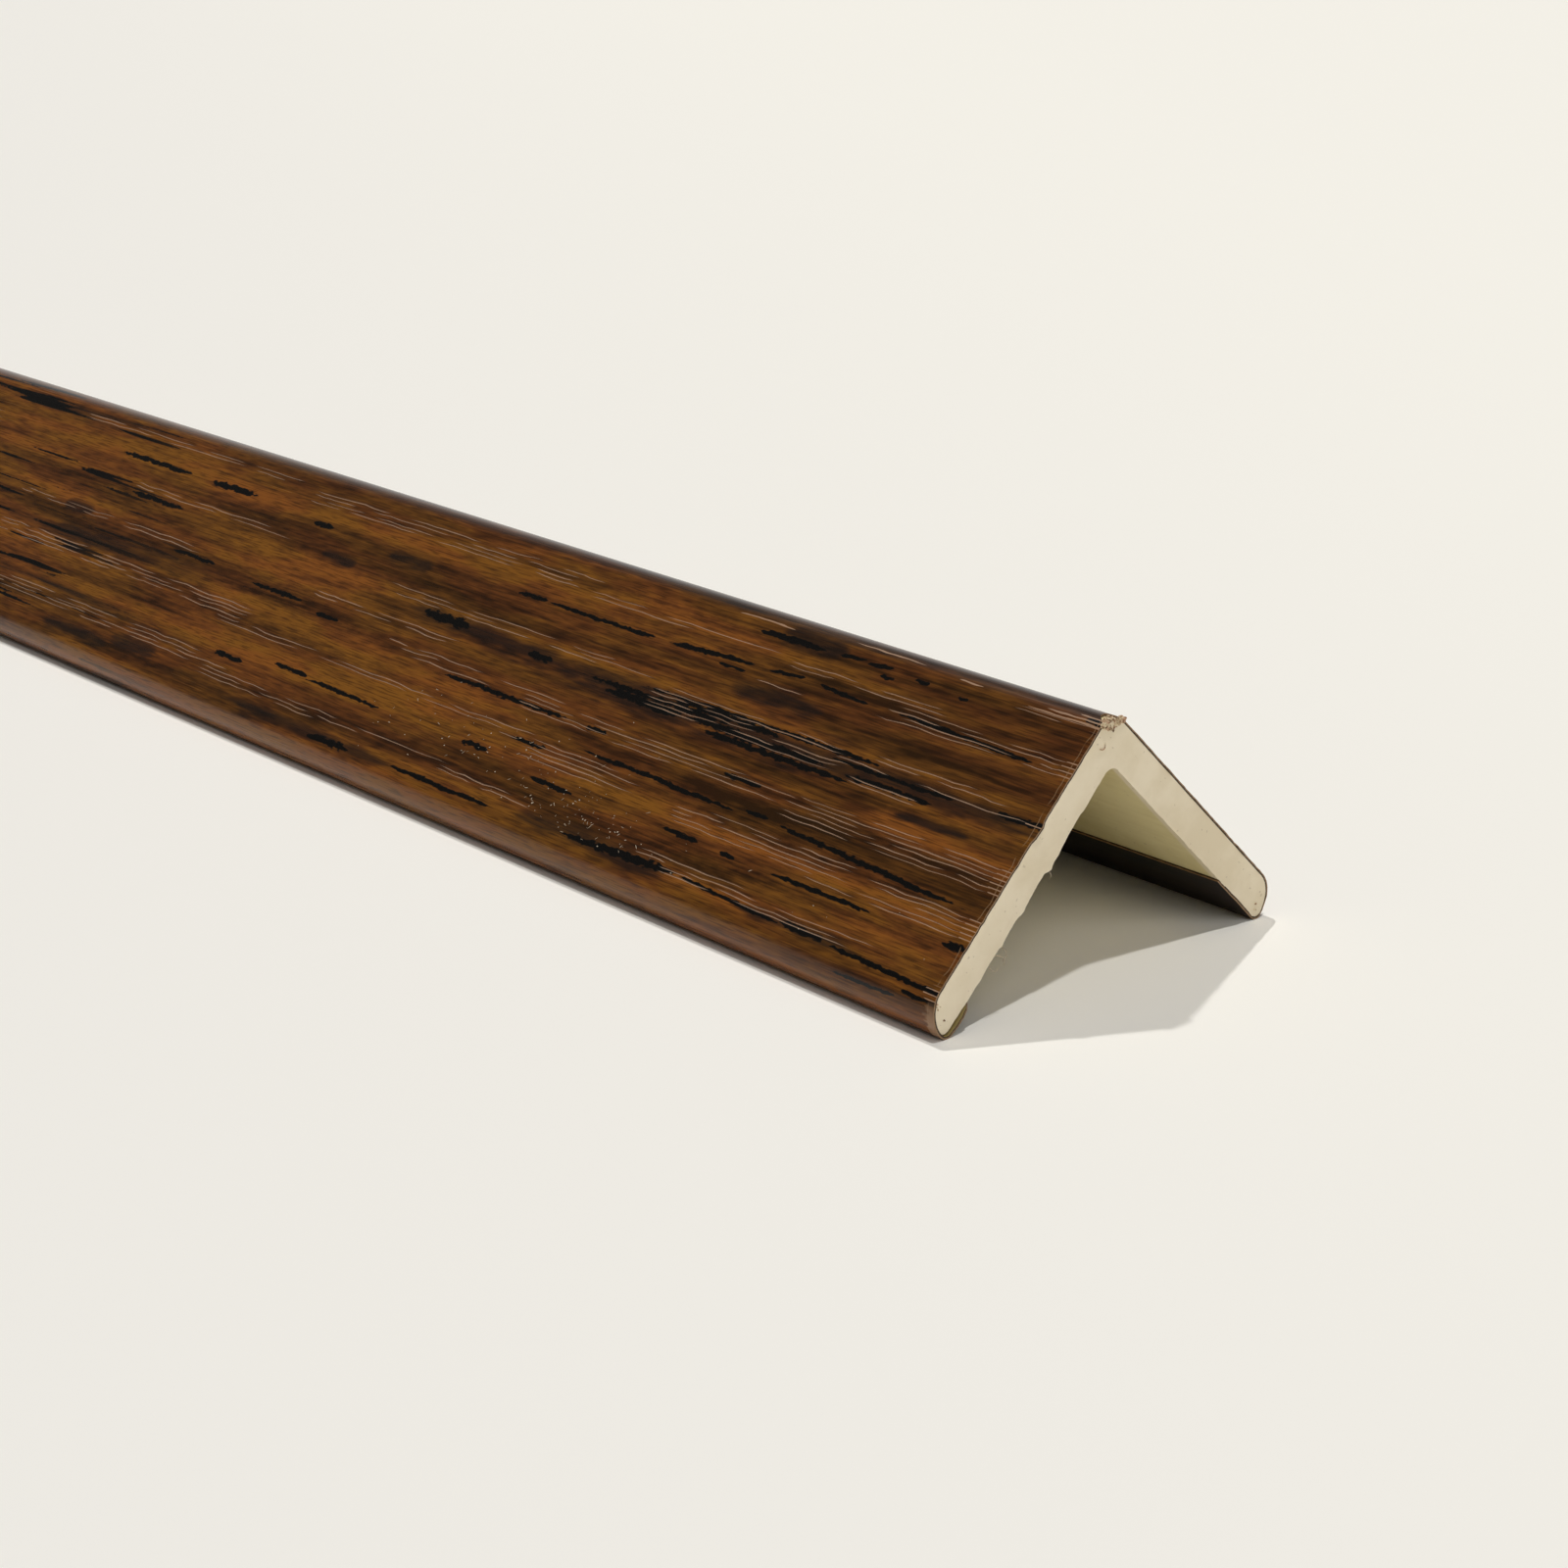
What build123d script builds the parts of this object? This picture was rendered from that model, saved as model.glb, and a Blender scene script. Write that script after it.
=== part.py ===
from build123d import *
import os
from math import sqrt

# Corner trim: a PVC angle wrapped in a printed wood-grain film.
# It lies as it does on a floor, on its two free edges with the corner up.
# Origin at the middle of its base, +X along the bar, towards the photographed end, +Z up.

# Sizes of the bar, in mm
bar_length = 1220.0
leg = 25.0  # over the film, from the other leg's outer face to the free edge
core_wall = 2.6
film_thickness = 0.2
film_return = 6.0  # width of film turned in behind each free edge

# Rounds of the extruded core, under the film
corner_radius = 1.5
inside_radius = 1.0
heel_radius = 0.5  # free edge, on the inner face
edge_land = 0.1  # flat left on the free edge between its two rounds

# What follows from them
core_leg = leg - 2 * film_thickness
film_edge = leg - film_thickness - film_return
nose_radius = core_wall - heel_radius - edge_land
heel_reach = (core_leg + core_wall - 2 * heel_radius) / sqrt(2)
corner_height = heel_reach + heel_radius + film_thickness

# The section lies on the far end, with its own origin at the core's sharp outer corner.
# Its x axis runs down one leg, and its y axis runs up the other.
section_plane = Plane(
    origin=(-bar_length / 2, 0, corner_height),
    x_dir=(0, 1, -1),
    z_dir=(1, 0, 0),
)

# Core: one even wall, rounded over at the free edges, with bare inner faces for the glue
with BuildPart() as core:
    with BuildSketch(section_plane):
        with BuildLine():
            wrapped_side = FilletPolyline(
                (film_edge, -core_wall),
                (core_leg, -core_wall),
                (core_leg, 0),
                (0, 0),
                (0, -core_leg),
                (core_wall, -core_leg),
                (core_wall, -film_edge),
                radius=[heel_radius, nose_radius, corner_radius, nose_radius, heel_radius],
            )
            FilletPolyline(
                (core_wall, -film_edge),
                (core_wall, -core_wall),
                (film_edge, -core_wall),
                radius=inside_radius,
            )
        make_face()
    # The line where the film stops stays as an edge between the glue face and the covered strip
    extrude(amount=bar_length, clean=False)
core.part.label = "pvc_core"

# Film: the wrapped side of the core, thickened outwards
with BuildPart() as film:
    with BuildSketch(section_plane):
        with BuildLine():
            add(wrapped_side)
            offset(amount=film_thickness, side=Side.RIGHT)
        make_face()
    extrude(amount=bar_length)
film.part.label = "wood_film"

os.makedirs("parts", exist_ok=True)
export_step(core.part, "parts/pvc_core.step")
export_step(film.part, "parts/wood_film.step")
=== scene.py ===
import bpy
import bmesh
import math
import random
import numpy as np
from mathutils import Matrix, Vector, noise


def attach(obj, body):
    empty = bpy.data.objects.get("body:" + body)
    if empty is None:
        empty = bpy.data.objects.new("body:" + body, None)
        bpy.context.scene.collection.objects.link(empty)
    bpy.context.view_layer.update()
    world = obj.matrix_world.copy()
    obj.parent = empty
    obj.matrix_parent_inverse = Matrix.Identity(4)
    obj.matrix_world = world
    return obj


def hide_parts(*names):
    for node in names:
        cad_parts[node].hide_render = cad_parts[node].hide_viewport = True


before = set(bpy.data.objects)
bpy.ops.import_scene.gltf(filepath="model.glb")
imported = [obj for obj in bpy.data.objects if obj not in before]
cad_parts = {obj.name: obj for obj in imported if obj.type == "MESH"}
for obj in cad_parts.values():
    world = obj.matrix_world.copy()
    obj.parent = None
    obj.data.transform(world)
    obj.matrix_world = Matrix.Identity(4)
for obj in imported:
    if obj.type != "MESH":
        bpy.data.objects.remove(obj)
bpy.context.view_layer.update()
print("frame loaded:", sorted(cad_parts))

# Section of the bar in mm, as in the part's source
section = {
    "barLength": 1220.0,
    "leg": 25.0,
    "coreWall": 2.6,
    "filmThickness": 0.2,
    "filmReturn": 6.0,
    "cornerRadius": 1.5,
    "insideRadius": 1.0,
    "heelRadius": 0.5,
    "edgeLand": 0.1,
}
root2 = math.sqrt(2)
wall = section["coreWall"]
filmGauge = section["filmThickness"]
cornerRadius = section["cornerRadius"]
insideRadius = section["insideRadius"]
heelRadius = section["heelRadius"]
halfLength = section["barLength"] / 2
coreLeg = section["leg"] - 2 * filmGauge
filmEdge = section["leg"] - filmGauge - section["filmReturn"]
noseRadius = wall - heelRadius - section["edgeLand"]
noseStart = coreLeg - noseRadius
heelStart = coreLeg - heelRadius
cornerHeight = (coreLeg + wall - 2 * heelRadius) / root2 + heelRadius + filmGauge
sharpAngle = math.radians(40)  # faces that meet at more than this keep their edge


# A point of the section: a runs down a leg from the sharp corner, d into its wall, side is 1 or -1
def barPoint(x, a, d, side):
    y = side * (a - d) / root2
    z = cornerHeight - (a + d) / root2
    return (x / 1000, y / 1000, z / 1000)


def arcRun(centre, radius, start, end, steps):
    turns = [math.radians(start + (end - start) * i / steps) for i in range(steps + 1)]
    return [(centre[0] + radius * math.cos(t), centre[1] + radius * math.sin(t)) for t in turns]


def straightRun(start, end, steps):
    return [
        (start[0] + (end[0] - start[0]) * i / steps, start[1] + (end[1] - start[1]) * i / steps)
        for i in range(steps + 1)
    ]


def wave(x, y=0.0, z=0.0):
    return noise.noise(Vector((x, y, z)))


def smoothStep(low, high, value):
    t = min(1.0, max(0.0, (value - low) / (high - low)))
    return t * t * (3 - 2 * t)


def newObject(name, data):
    item = bpy.data.objects.new(name, data)
    bpy.context.scene.collection.objects.link(item)
    return item


def store(mesh, label, kind, domain, values):
    field = "vector" if kind == "FLOAT_VECTOR" else "value"
    mesh.attributes.new(label, kind, domain).data.foreach_set(field, values)


def fetch(items, field, kind, width=1):
    values = np.empty(len(items) * width, kind)
    items.foreach_get(field, values)
    return values.reshape(-1, width) if width > 1 else values


# Joins points nearer than weld, turns the faces outwards and counts the edges left open
def closeShell(mesh, weld=0.0):
    shell = bmesh.new()
    shell.from_mesh(mesh)
    if weld:
        bmesh.ops.remove_doubles(shell, verts=shell.verts, dist=weld)
    bmesh.ops.recalc_face_normals(shell, faces=shell.faces)
    openEdges = sum(1 for edge in shell.edges if not edge.is_manifold)
    shell.to_mesh(mesh)
    shell.free()
    return openEdges


# Node trees: one wrapper for a socket, one maker for any node
class Value:
    def __init__(self, maker, socket):
        self.maker = maker
        self.socket = socket

    def calc(self, operation, other=0.0, flipped=False):
        first, second = (other, self) if flipped else (self, other)
        return self.maker.add("ShaderNodeMath", {"operation": operation}, {0: first, 1: second})

    def __add__(self, other):
        return self.calc("ADD", other)

    __radd__ = __add__

    def __sub__(self, other):
        return self.calc("SUBTRACT", other)

    def __rsub__(self, other):
        return self.calc("SUBTRACT", other, True)

    def __mul__(self, other):
        return self.calc("MULTIPLY", other)

    __rmul__ = __mul__

    def __truediv__(self, other):
        return self.calc("DIVIDE", other)

    def __abs__(self):
        return self.calc("ABSOLUTE")

    def most(self, other):
        return self.calc("MAXIMUM", other)

    def least(self, other):
        return self.calc("MINIMUM", other)

    def root(self):
        return self.calc("SQRT")

    def ramp(self, start, end, low=0.0, high=1.0, shape="SMOOTHSTEP"):
        limits = {"Value": self, "From Min": start, "From Max": end, "To Min": low, "To Max": high}
        return self.maker.add("ShaderNodeMapRange", {"interpolation_type": shape}, limits)

    def also(self, output):
        return Value(self.maker, self.socket.node.outputs[output])


class NodeMaker:
    def __init__(self, tree):
        self.tree = tree

    def add(self, kind, settings, inputs, output=0):
        node = self.tree.nodes.new(kind)
        for name, setting in settings.items():
            if name == "stops":
                self.setStops(node.color_ramp.elements, setting)
            else:
                setattr(node, name, setting)
        for name, given in inputs.items():
            for one in given if isinstance(given, list) else [given]:
                if isinstance(one, Value):
                    self.tree.links.new(one.socket, node.inputs[name])
                else:
                    node.inputs[name].default_value = one
        return Value(self, node.outputs[output]) if node.outputs else None

    def setStops(self, elements, stops):
        while len(elements) < len(stops):
            elements.new(1.0)
        for element, (place, colour) in zip(elements, stops):
            element.position = place
            element.color = (*colour, 1.0)

    def scaled(self, vector, scale, shift=(0.0, 0.0, 0.0)):
        return self.vector("MULTIPLY_ADD", vector, scale, shift)

    # noise on a surface where scale has two numbers, in space where it has three
    def cloud(self, vector, scale, shift=(0.0, 0.0, 0.0), detail=2.0, rough=0.5):
        spread = self.scaled(vector, (*scale, 0.0)[:3], shift)
        inputs = {"Vector": spread, "Scale": 1.0, "Detail": detail, "Roughness": rough}
        return self.add("ShaderNodeTexNoise", {"noise_dimensions": f"{len(scale)}D"}, inputs)

    def vector(self, operation, *given):
        return self.add("ShaderNodeVectorMath", {"operation": operation}, dict(enumerate(given)))

    def geo(self, kind, inputs):
        return self.add("GeometryNode" + kind, {}, inputs)

    def split(self, vector):
        return self.add("ShaderNodeSeparateXYZ", {}, {"Vector": vector})

    def join(self, **parts):
        return self.add("ShaderNodeCombineXYZ", {}, parts)

    def place(self):
        return self.add("ShaderNodeTexCoord", {}, {}, "Object")

    def stored(self, label, output="Fac"):
        return self.add("ShaderNodeAttribute", {"attribute_name": label}, {}, output)

    def column(self, label):
        return self.add("GeometryNodeInputNamedAttribute", {"data_type": "FLOAT"}, {"Name": label})

    def bump(self, strength, height):
        return self.add("ShaderNodeBump", {}, {"Strength": strength, "Distance": 0.00002, "Height": height})

    def tint(self, amount, first, second, mode="MIX"):
        first, second = [c if isinstance(c, Value) else (*c, 1.0) for c in (first, second)]
        settings = {"data_type": "RGBA", "blend_type": mode}
        return self.add("ShaderNodeMix", settings, {0: amount, 6: first, 7: second}, 2)


def newMaterial(name, settings):
    material = bpy.data.materials.new(name)
    material.use_nodes = True
    maker = NodeMaker(material.node_tree)
    shader = material.node_tree.nodes["Principled BSDF"]
    for socket, setting in settings.items():
        shader.inputs[socket].default_value = setting
    return material, maker, shader


def feed(maker, shader, links):
    for socket, given in links.items():
        maker.tree.links.new(given.socket, shader.inputs[socket])


# A geometry tree's own inputs, given as name: socket type
def newTree(name, inputs):
    tree = bpy.data.node_groups.new(name, "GeometryNodeTree")
    tree.interface.new_socket("Geometry", in_out="INPUT", socket_type="NodeSocketGeometry")
    tree.interface.new_socket("Geometry", in_out="OUTPUT", socket_type="NodeSocketGeometry")
    for label, kind in inputs.items():
        tree.interface.new_socket(label, in_out="INPUT", socket_type="NodeSocket" + kind)
    maker = NodeMaker(tree)
    return maker, maker.add("NodeGroupInput", {}, {})


# Runs a tree on loose points and gives back the plain mesh
def runTree(tree, name, sites, columns, settings):
    mesh = bpy.data.meshes.new(name)
    mesh.from_pydata(sites, [], [])
    for label, values in columns.items():
        store(mesh, label, "FLOAT", "POINT", values)
    holder = newObject(name, mesh)
    modifier = holder.modifiers.new("nodes", "NODES")
    modifier.node_group = tree
    for item in tree.interface.items_tree:
        if item.in_out == "INPUT" and item.name in settings:
            modifier[item.identifier] = settings[item.name]
    evaluated = holder.evaluated_get(bpy.context.evaluated_depsgraph_get())
    made = bpy.data.meshes.new_from_object(evaluated)
    holder.modifiers.clear()
    bpy.data.objects.remove(holder)
    bpy.data.meshes.remove(mesh)
    return made


def addPiece(name, mesh, node=None):
    piece = newObject(name, mesh)
    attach(piece, "root")
    if node:
        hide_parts(node)
    print(name, "made:", len(mesh.polygons), "faces")
    return piece


# Core: cream PVC, sawn across, with a torn lip on the photographed leg's inner edge
coreBar = {
    "flatSteps": 72,
    "roundSteps": 8,
    "capSteps": 8,
    "nearRows": (0.0, 0.12, 0.3, 0.6, 1.1, 2.5),
    "runRows": 6,
    "sawRecess": 0.2,
    "tipRecess": -0.08,
    "tipBreak": 0.18,
    "dieLine": 0.012,
    "lips": (
        (8.4, 11.5, 0.52),
        (12.6, 15.1, 0.26),
        (16.2, 17.6, 0.16),
        (19.2, 20.3, 0.12),
        (4.9, 6.6, 0.1),
    ),
    "lipFade": (1.0, 0.92, 0.6, 0.22, 0.05, 0.0),
    "cream": (0.80, 0.69, 0.375),
    "creamShade": (0.70, 0.585, 0.285),
    "sawnCream": (0.92, 0.81, 0.615),
    "sawnShade": (0.82, 0.705, 0.505),
    "speck": (0.32, 0.22, 0.12),
    "sawnDepth": (0.0011, 0.0007),
}


def buildCoreMaterial():
    material, maker, shader = newMaterial("creamPvc", {"Specular IOR Level": 0.35})
    place = maker.place()
    along = maker.split(place)
    mottle = maker.cloud(place, (420, 420, 420), detail=3.0, rough=0.6)
    pull = maker.cloud(place, (3, 1500, 1500), detail=2.0)
    blotch = maker.cloud(place, (120, 120, 120), (3, 1, 7), detail=2.0)
    shade = (mottle * 0.3 + pull * 0.35 + blotch * 0.55).ramp(0.45, 0.78)
    skin = maker.tint(shade, coreBar["cream"], coreBar["creamShade"])
    # sawn ends are paler and drier than the extruded skin
    sawn = abs(along).ramp(*[halfLength / 1000 - depth for depth in coreBar["sawnDepth"]])
    # the sawn end is mottled, and darker towards the +y leg
    sawnTone = (mottle * 0.6 + blotch * 0.6 + along.also("Y") * 9).ramp(0.45, 0.8)
    base = maker.tint(sawn, skin, maker.tint(sawnTone, coreBar["sawnCream"], coreBar["sawnShade"]))
    speck = maker.cloud(place, (2600, 2600, 2600), (11, 5, 2), detail=1.0).ramp(0.73, 0.77)
    base = maker.tint(speck * 0.3, base, coreBar["speck"])
    scuff = maker.cloud(place, (900, 700, 2200), detail=2.0)
    height = pull * 0.3 + mottle * 0.15 + scuff * sawn * 0.5
    rough = mottle * 0.2 + 0.42 + sawn * 0.12
    feed(maker, shader, {"Base Color": base, "Roughness": rough, "Normal": maker.bump(0.25, height)})
    return material


def lipHeight(a, side):
    rise = 0.035 + 0.05 * wave(a * 2.3, side * 4.1)
    if side < 0:
        for start, end, height in coreBar["lips"]:
            if start < a < end:
                share = (a - start) / (end - start)
                rise += height * share * smoothStep(1.0, 0.86, share) * (0.8 + 0.35 * wave(a * 3.7, 1.3))
    return max(rise, -0.03)


def buildCore():
    steps, rounds, capSteps = coreBar["flatSteps"], coreBar["roundSteps"], coreBar["capSteps"]
    outside = arcRun((cornerRadius, cornerRadius), cornerRadius, -135, -90, rounds)
    outside += straightRun((cornerRadius, 0), (noseStart, 0), steps)[1:]
    outside += arcRun((noseStart, noseRadius), noseRadius, -90, 0, rounds)[1:]
    bare = wall + insideRadius
    inside = arcRun((bare, bare), insideRadius, -135, -90, rounds)
    inside += straightRun((bare, wall), (heelStart, wall), steps)[1:]
    inside += arcRun((heelStart, wall - heelRadius), heelRadius, 90, 0, rounds)[1:]
    last = len(outside) - 1
    stations = [(i, -1) for i in range(last, 0, -1)] + [(i, 1) for i in range(last + 1)]
    count = len(stations)

    # the inner face has faint lines from the die, and a torn lip at the near end
    def innerSpot(i, side, lipShare):
        a, d = inside[i]
        if side < 0:
            d -= lipShare * coreBar["tipBreak"] * smoothStep(21.0, 23.4, a)
        if rounds <= i <= rounds + steps:
            d += coreBar["dieLine"] * wave(a * 2.6, side * 9.0)
            d += lipShare * lipHeight(a, side)
        return a, d

    def recess(i, side, share):
        a = outside[i][0]
        mid = a + (inside[i][0] - a) * share
        edge = abs(2 * share - 1) ** 3
        cut = coreBar["sawRecess"] + 0.04 * wave(mid * 0.5, share * 1.2, side * 3.0) + 0.05 * edge
        cut += 0.008 * wave(mid * 3.4, share * 6, side * 5.0)
        if side < 0:
            cut += coreBar["tipRecess"] * smoothStep(20.6, 23.2, mid)
        return cut

    near = coreBar["nearRows"]
    run = coreBar["runRows"]
    span = section["barLength"] - 2 * near[-1]
    rows = [(halfLength - x, coreBar["lipFade"][k], 1 - x / near[-1]) for k, x in enumerate(near)]
    rows += [(halfLength - near[-1] - span * k / run, 0.0, 0.0) for k in range(1, run + 1)]
    rows.append((-halfLength, 0.0, 0.0))
    verts, faces = [], []
    outer, inner = [], []
    for x, lip, pulled in rows:
        outerRow, innerRow = [], []
        for i, side in stations:
            outerRow.append(len(verts))
            verts.append(barPoint(x - pulled * recess(i, side, 0.0), *outside[i], side))
            innerRow.append(len(verts))
            spot = innerSpot(i, side, lip)
            verts.append(barPoint(x - pulled * recess(i, side, 1.0), *spot, side))
        outer.append(outerRow)
        inner.append(innerRow)
    for r in range(len(rows) - 1):
        for k in range(count - 1):
            faces.append((outer[r][k], outer[r][k + 1], outer[r + 1][k + 1], outer[r + 1][k]))
            faces.append((inner[r][k], inner[r + 1][k], inner[r + 1][k + 1], inner[r][k + 1]))
        for k in (0, count - 1):
            faces.append((outer[r][k], inner[r][k], inner[r + 1][k], outer[r + 1][k]))
    for r, x in ((0, halfLength), (len(rows) - 1, -halfLength)):
        grid = []
        for k, (i, side) in enumerate(stations):
            spot = innerSpot(i, side, 1.0 if r == 0 else 0.0)
            column = [outer[r][k]]
            for j in range(1, capSteps):
                share = j / capSteps
                a = outside[i][0] + (spot[0] - outside[i][0]) * share
                d = outside[i][1] + (spot[1] - outside[i][1]) * share
                cut = recess(i, side, share) if r == 0 else 0.0
                column.append(len(verts))
                verts.append(barPoint(x - cut, a, d, side))
            grid.append(column + [inner[r][k]])
        for k in range(count - 1):
            for j in range(capSteps):
                faces.append((grid[k][j], grid[k][j + 1], grid[k + 1][j + 1], grid[k + 1][j]))
    mesh = bpy.data.meshes.new("coreBar")
    mesh.from_pydata(verts, [], faces)
    closeShell(mesh)
    mesh.shade_smooth()
    mesh.set_sharp_from_angle(angle=sharpAngle)
    mesh.materials.append(buildCoreMaterial())
    return mesh


addPiece("coreBar", buildCore(), "pvc_core")

# Film: printed wood grain, wrapped over the core, with open pores pressed into its two faces
filmWrap = {
    "endStrip": 0.62,
    "panels": 4,
    "rowsPerPanel": 16,
    "flatSteps": 48,
    "cornerSteps": 6,
    "noseSteps": 12,
    "heelSteps": 6,
    "returnSteps": 8,
    "nearRows": (0.0, 0.1, 0.3),
    "tipStand": 0.13,
    "ridgeTear": 0.75,
    "mostCutBack": 0.56,
    "weld": 0.0000018,
    "sheetGap": 66.0,
    "bakeSide": 312.0,
}
pores = {
    "seed": 41,
    "pitch": 0.36,
    "lengths": (5.0, 15.0),
    "gaps": (0.5, 2.2),
    "widths": (0.09, 0.125),
    "depths": (0.03, 0.045),
    "steps": 8,
    "waveHeight": 0.24,
    "kinkHeight": 0.05,
    "rim": 0.14,
    "groupsPerPanel": 38,
    "groupLengths": (14.0, 42.0),
    "groupWidths": (0.7, 2.2),
    "nearReach": 126.0,
}
# groups of pores by the photographed end: from and to along the bar, from and to down the face, in mm
poreGroups = (
    (0.0, 7.0, 1.2, 2.1),
    (11.0, 14.0, 1.2, 1.6),
    (13.0, 27.0, 3.6, 4.3),
    (30.0, 50.0, 3.4, 4.2),
    (0.0, 17.0, 4.5, 5.8),
    (25.0, 29.0, 5.7, 6.1),
    (5.0, 14.5, 8.3, 9.1),
    (0.0, 18.0, 9.2, 9.8),
    (37.0, 50.0, 8.3, 8.7),
    (17.0, 38.0, 8.8, 10.9),
    (9.0, 16.0, 10.4, 11.0),
    (0.0, 20.0, 12.9, 14.9),
    (20.0, 50.0, 12.7, 14.2),
    (14.0, 29.0, 16.4, 18.0),
    (0.0, 14.5, 16.6, 18.5),
    (36.0, 50.0, 16.0, 17.6),
    (20.0, 30.0, 20.5, 21.2),
    (9.0, 27.0, 21.0, 21.9),
    (0.0, 11.0, 21.8, 22.9),
    (32.0, 54.0, 20.4, 21.4),
    (2.0, 6.0, 2.0, 2.3),
    (52.0, 88.0, 2.3, 3.7),
    (45.0, 72.0, 7.9, 8.9),
    (45.0, 68.0, 12.4, 13.4),
    (48.0, 90.0, 15.5, 16.5),
    (55.0, 88.0, 20.1, 21.3),
    (62.0, 80.0, 10.8, 11.5),
    (92.0, 126.0, 2.0, 2.8),
    (88.0, 128.0, 14.4, 15.6),
    (88.0, 124.0, 19.2, 20.4),
    (98.0, 128.0, 10.6, 11.6),
    (90.0, 112.0, 6.9, 7.6),
)
readScale = (1.033, 1.027)  # mm of the bar to one as read, along it and down the face
virtualCorner = 0.365  # down the face, the print's own ridge lies this far below the sharp corner
cornerRun = (cornerRadius + filmGauge) * math.pi / 4
flatRun = noseStart - cornerRadius
noseRun = (noseRadius + filmGauge) * math.pi / 2
heelRun = (heelRadius + filmGauge) * math.pi / 2
returnRun = heelStart - filmEdge


# groups of one panel: read off the photograph by the near end, drawn at random elsewhere
def poreGroupsOf(side, panel, panelLength, draw):
    start = filmWrap["endStrip"] + panel * panelLength
    photographed = side < 0 and panel == 0
    groups = []
    if photographed:
        groups = [tuple(value * readScale[k // 2] for k, value in enumerate(span)) for span in poreGroups]
    for k in range(pores["groupsPerPanel"]):
        length, width = draw.uniform(*pores["groupLengths"]), draw.uniform(*pores["groupWidths"])
        place, top = start + draw.uniform(-5.0, panelLength - length), draw.uniform(2.0, flatRun - 1.0)
        if not photographed or place > pores["nearReach"]:
            groups.append((place, place + length, top, top + width))
    return groups


# every group fills its lanes with one pore after another
def poreSites(side, panel, panelLength):
    draw = random.Random(pores["seed"] * 100 + panel * 2 + (side > 0))
    start = filmWrap["endStrip"] + panel * panelLength
    firstLane, pitch = cornerRadius + filmGauge + pores["rim"], pores["pitch"]
    lanes = [[] for k in range(int((flatRun - 2 * pores["rim"]) / pitch) + 1)]
    sites, lengths, widths, depths = [], [], [], []
    for near, far, top, foot in poreGroupsOf(side, panel, panelLength, draw):
        for lane in range(len(lanes)):
            if not top < firstLane + lane * pitch < foot:
                continue
            place = near + (draw.uniform(-2.5, 3.0) if near > 0 else draw.uniform(-2.0, 0.0))
            while place < far:
                length = draw.uniform(*pores["lengths"])
                begin = max(place, start + 0.12)
                end = min(place + length, far + 2.0, start + panelLength - 0.12)
                place += length + draw.uniform(*pores["gaps"])
                clear = all(end + 0.4 < other[0] or begin > other[1] + 0.4 for other in lanes[lane])
                if end - begin < 1.2 or not clear:
                    continue
                lanes[lane].append((begin, end))
                y = pores["rim"] + lane * pitch + draw.uniform(-0.05, 0.05)
                sites.append(((begin + end) / 2 - start - panelLength / 2, y - flatRun / 2, 0.0))
                lengths.append(end - begin)
                widths.append(draw.uniform(*pores["widths"]))
                depths.append(draw.uniform(*pores["depths"]))
    return sites, {"poreLength": lengths, "poreWidth": widths, "poreDepth": depths}


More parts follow.
